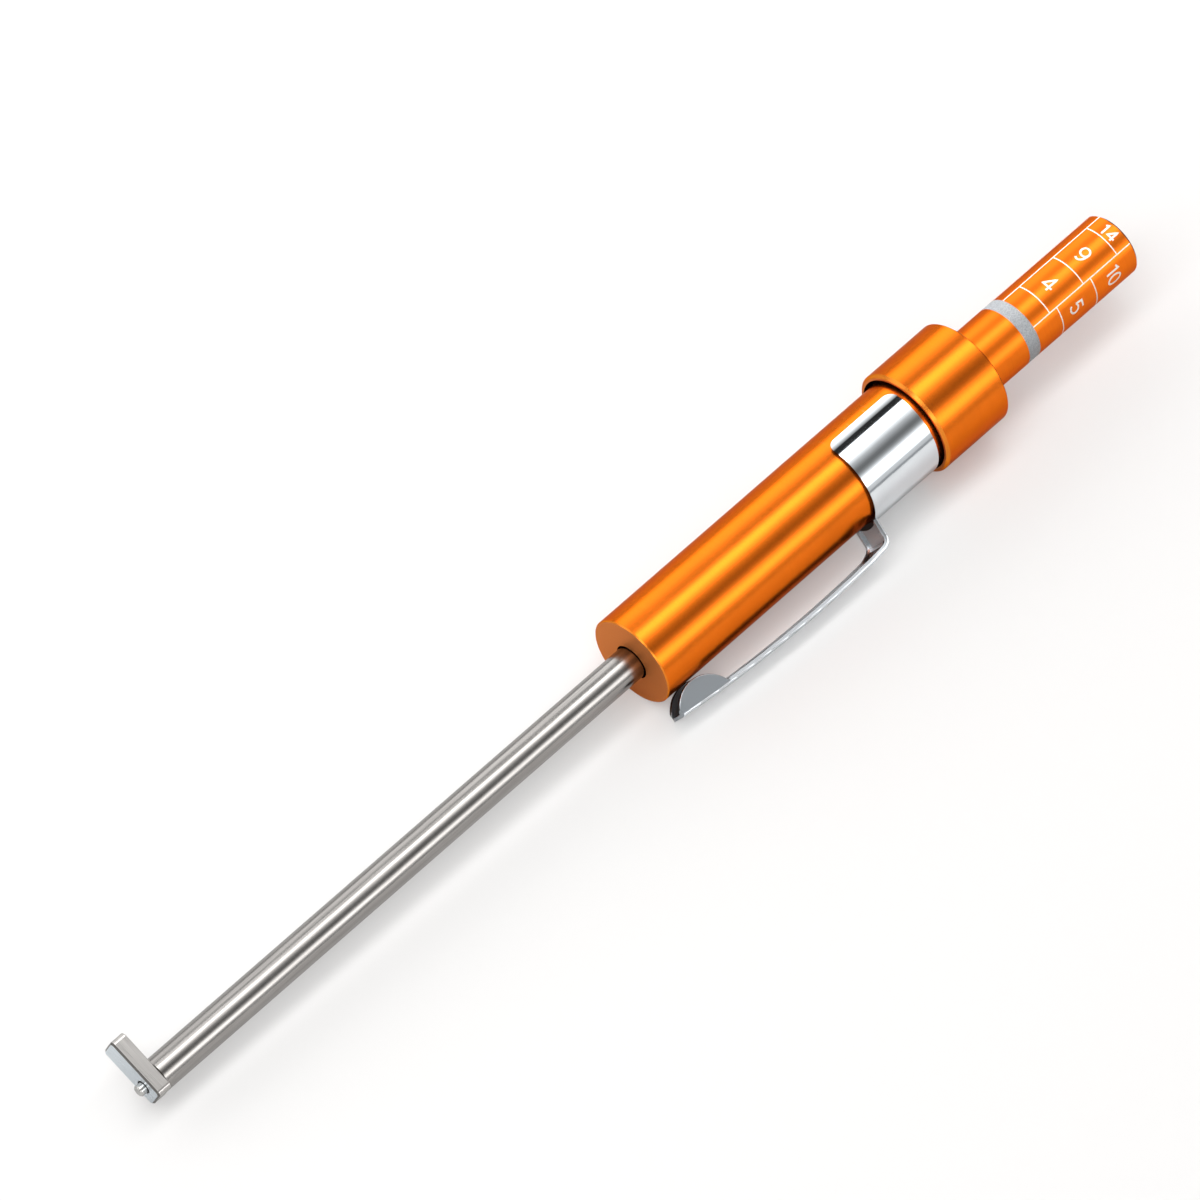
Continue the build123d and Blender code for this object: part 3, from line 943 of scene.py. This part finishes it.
class GAUGE_OT_set_stage(bpy.types.Operator):
    """Set the paper floor, the lamps, the world and the camera"""

    bl_idname = "gauge.set_stage"
    bl_label = "Set stage"

    def execute(self, context):
        stage = context.scene.gauge_stage
        self.lay_floor(context.scene, stage)
        self.hang_softboxes(context.scene)
        self.hang_fill(context.scene, stage)
        self.light_world(context.scene)
        self.place_camera(context.scene, stage)
        return {"FINISHED"}

    def lay_floor(self, scene, stage):
        """Lay the paper where the gauge rests, on the front edges of the handle and the collar."""
        handle_low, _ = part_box("handle_barrel")
        collar_low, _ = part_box("collar")
        slope = (collar_low.z - handle_low.z) / (collar_low.x - handle_low.x)
        gap = 0.08 * MM
        reach = 1.6
        corners = []
        for x, y in ((-reach, -reach), (reach, -reach), (reach, reach), (-reach, reach)):
            corners.append((x, y, handle_low.z + slope * (x - handle_low.x) - gap))
        mesh = bpy.data.meshes.new("paper_floor")
        mesh.from_pydata(corners, [], [(0, 1, 2, 3)])
        floor = bpy.data.objects.new("paper_floor", mesh)
        scene.collection.objects.link(floor)
        mesh.materials.append(studio_paper(tuple(stage.floor_colour), stage.floor_glow))

    def hang_softboxes(self, scene):
        """Hang long softboxes parallel to the gauge, each with its own fall of light across it.

        Each has its name, the turns of its two long edges in degrees, where it starts and ends along
        the gauge, its brightness, its levels across it from its first edge, and whether it lights dull
        surfaces and shows in metal. The far box shows dimmer in the tube than in the handle.
        """
        far_ramp = ((0.0, 0.3), (0.2, 1.0), (0.55, 1.0), (0.72, 0.6), (0.86, 0.25), (1.0, 0.0))
        overhead_ramp = (
            (0.0, 0.0), (0.08, 0.9), (0.12, 1.0), (0.3, 1.0), (0.42, 0.55),
            (0.52, 0.27), (0.66, 0.13), (0.8, 0.07), (0.9, 0.04), (1.0, 0.035),
        )
        near_ramp = (
            (0.0, 0.045), (0.11, 0.07), (0.21, 0.14), (0.33, 0.35), (0.41, 0.8),
            (0.46, 1.0), (0.66, 1.0), (0.74, 0.45), (0.82, 0.12), (1.0, 0.08),
        )
        tube_ramp = ((0.0, 0.7), (0.3, 1.0), (0.7, 1.0), (1.0, 0.7))
        # the tube shows the parts of the lamps before split_x, and the handle those behind it
        front_x = -1.93
        split_x = 0.425
        rear_x = 2.07
        far_first = -82.5
        far_second = -30.5
        lamp_gap = 0.01
        for name, first, second, start_x, end_x, brightness, ramp, on_dull, in_metal in (
            ("far_softbox", far_first, far_second, front_x, rear_x, 2.5, far_ramp, True, False),
            ("far_front_shine", far_first, far_second, front_x, split_x, 1.3, far_ramp, False, True),
            ("far_rear_shine", far_first, far_second, split_x, rear_x, 2.5, far_ramp, False, True),
            ("tube_shine", -36.0, -19.0, 0.0, 0.385, 2.1, tube_ramp, False, True),
            ("overhead_softbox", -19.5, 35.5, front_x, rear_x, 4.3, overhead_ramp, True, True),
            ("near_shine", 35.5, 85.5, front_x, rear_x, 3.3, near_ramp, False, True),
        ):
            outward = radial(math.radians((first + second) / 2))
            # what only shows in metal hangs nearer, because of two lamps in one plane only one is seen
            distance = LAMP_DISTANCE if on_dull else LAMP_DISTANCE - lamp_gap
            width = 2 * distance * math.tan(math.radians((second - first) / 2))
            lamp = bpy.data.lights.new(name, "AREA")
            lamp.shape = "RECTANGLE"
            lamp.size = end_x - start_x
            lamp.size_y = width
            # at this power the lamp is as bright as its emission says
            lamp.energy = math.pi * lamp.size * width
            lamp.use_nodes = True
            tree = lamp.node_tree
            tree.nodes.clear()
            place = add_node(tree, "ShaderNodeNewGeometry")
            parts = add_node(tree, "ShaderNodeSeparateXYZ", {"Vector": place.outputs["Parametric"]})
            across = add_node(
                tree,
                "ShaderNodeMath",
                {0: 1.0, 1: parts.outputs["Y"]},
                operation="SUBTRACT",
            )
            stops = [(position, level(share)) for position, share in ramp]
            cloth = add_node(
                tree,
                "ShaderNodeValToRGB",
                {"Fac": across.outputs["Value"]},
                stops=[stops[0], stops[-1], *stops[1:-1]],
            )
            glow = add_node(
                tree,
                "ShaderNodeEmission",
                {"Color": cloth.outputs["Color"], "Strength": brightness},
            )
            add_node(tree, "ShaderNodeOutputLight", {"Surface": glow.outputs["Emission"]})
            softbox = bpy.data.objects.new(name, lamp)
            along = Vector((1, 0, 0))
            axes = Matrix((along, outward.cross(along), outward)).transposed()
            centre = Vector(((start_x + end_x) / 2, 0, 0)) + outward * distance
            softbox.matrix_world = Matrix.Translation(centre) @ axes.to_4x4()
            softbox.visible_diffuse = on_dull
            softbox.visible_glossy = in_metal
            softbox.visible_camera = False
            scene.collection.objects.link(softbox)

    def camera_axes(self, stage):
        """Return the camera's right, its up and the direction back to it from the target."""
        reach = math.cos(stage.elevation)
        back_x = math.sin(stage.azimuth) * reach
        back_y = -math.cos(stage.azimuth) * reach
        back = Vector((back_x, back_y, math.sin(stage.elevation)))
        right = Vector((math.cos(stage.azimuth), math.sin(stage.azimuth), 0))
        return right, back.cross(right), back

    def hang_fill(self, scene, stage):
        """Hang a weak lamp on the camera's side for what is dull; its shadows fall out of sight."""
        right, up, back = self.camera_axes(stage)
        lamp = bpy.data.lights.new("front_fill", "AREA")
        lamp.size = 0.4
        lamp.energy = 1.3
        fill = bpy.data.objects.new("front_fill", lamp)
        axes = Matrix((right, up, back)).transposed()
        centre = Vector(stage.target) + back * LAMP_DISTANCE
        fill.matrix_world = Matrix.Translation(centre) @ axes.to_4x4()
        fill.visible_glossy = False
        fill.visible_camera = False
        scene.collection.objects.link(fill)

    def light_world(self, scene):
        """Surround the gauge with a room, pale at the horizon, dim overhead and white to the camera."""
        world = bpy.data.worlds.new("studio_room")
        world.use_nodes = True
        tree = world.node_tree
        tree.nodes.clear()
        place = add_node(tree, "ShaderNodeTexCoord")
        parts = add_node(tree, "ShaderNodeSeparateXYZ", {"Vector": place.outputs["Generated"]})
        pale = (0.37, 0.37, 0.38, 1.0)
        room = add_node(
            tree,
            "ShaderNodeValToRGB",
            {"Fac": parts.outputs["Z"]},
            stops=[(0.0, pale), (0.62, level(0.02)), (0.25, level(0.28))],
        )
        path = add_node(tree, "ShaderNodeLightPath")
        seen = add_node(
            tree,
            "ShaderNodeMix",
            {"Factor": path.outputs["Is Camera Ray"], 6: room.outputs["Color"], 7: WHITE},
            data_type="RGBA",
        )
        back = add_node(tree, "ShaderNodeBackground", {"Color": seen.outputs[2], "Strength": 1.0})
        add_node(tree, "ShaderNodeOutputWorld", {"Surface": back.outputs["Background"]})
        scene.world = world

    def place_camera(self, scene, stage):
        """Place the camera at its azimuth and elevation round the target."""
        data = bpy.data.cameras.new("photo_camera")
        data.sensor_width = 36.0
        data.lens = stage.lens
        data.clip_end = 20.0
        camera = bpy.data.objects.new("photo_camera", data)
        right, up, back = self.camera_axes(stage)
        axes = Matrix((right, up, back)).transposed()
        centre = Vector(stage.target) + back * stage.distance
        camera.matrix_world = Matrix.Translation(centre) @ axes.to_4x4()
        scene.collection.objects.link(camera)
        scene.camera = camera
        scene.view_settings.view_transform = "Standard"


class GAUGE_PT_panel(bpy.types.Panel):
    """Lists the gauge's settings and the steps that dress it"""

    bl_label = "Brake pad gauge"
    bl_idname = "GAUGE_PT_panel"
    bl_space_type = "VIEW_3D"
    bl_region_type = "UI"
    bl_category = "Gauge"

    def draw(self, context):
        for group in (context.scene.gauge_finish, context.scene.gauge_scale, context.scene.gauge_stage):
            box = self.layout.box()
            for name in group.__annotations__:
                box.prop(group, name)
        for operator in OPERATORS:
            self.layout.operator(operator.bl_idname)


OPERATORS = (
    GAUGE_OT_finish_barrels,
    GAUGE_OT_finish_probe,
    GAUGE_OT_finish_clip,
    GAUGE_OT_finish_ring,
    GAUGE_OT_finish_inside,
    GAUGE_OT_fit_spring,
    GAUGE_OT_print_scale,
    GAUGE_OT_set_stage,
)
CLASSES = (GaugeFinishSettings, GaugeScaleSettings, GaugeStageSettings, *OPERATORS, GAUGE_PT_panel)


def register():
    """Register the classes and hang the settings on the scene."""
    for cls in CLASSES:
        bpy.utils.register_class(cls)
    bpy.types.Scene.gauge_finish = PointerProperty(type=GaugeFinishSettings)
    bpy.types.Scene.gauge_scale = PointerProperty(type=GaugeScaleSettings)
    bpy.types.Scene.gauge_stage = PointerProperty(type=GaugeStageSettings)


def unregister():
    """Take the settings off the scene and unregister the classes."""
    del bpy.types.Scene.gauge_stage
    del bpy.types.Scene.gauge_scale
    del bpy.types.Scene.gauge_finish
    for cls in reversed(CLASSES):
        bpy.utils.unregister_class(cls)


def main():
    """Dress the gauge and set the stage."""
    register()
    bpy.ops.gauge.finish_barrels()
    bpy.ops.gauge.finish_probe()
    bpy.ops.gauge.finish_clip()
    bpy.ops.gauge.finish_ring()
    bpy.ops.gauge.finish_inside()
    bpy.ops.gauge.fit_spring()
    bpy.ops.gauge.print_scale()
    bpy.ops.gauge.set_stage()


if __name__ == "__main__":
    main()
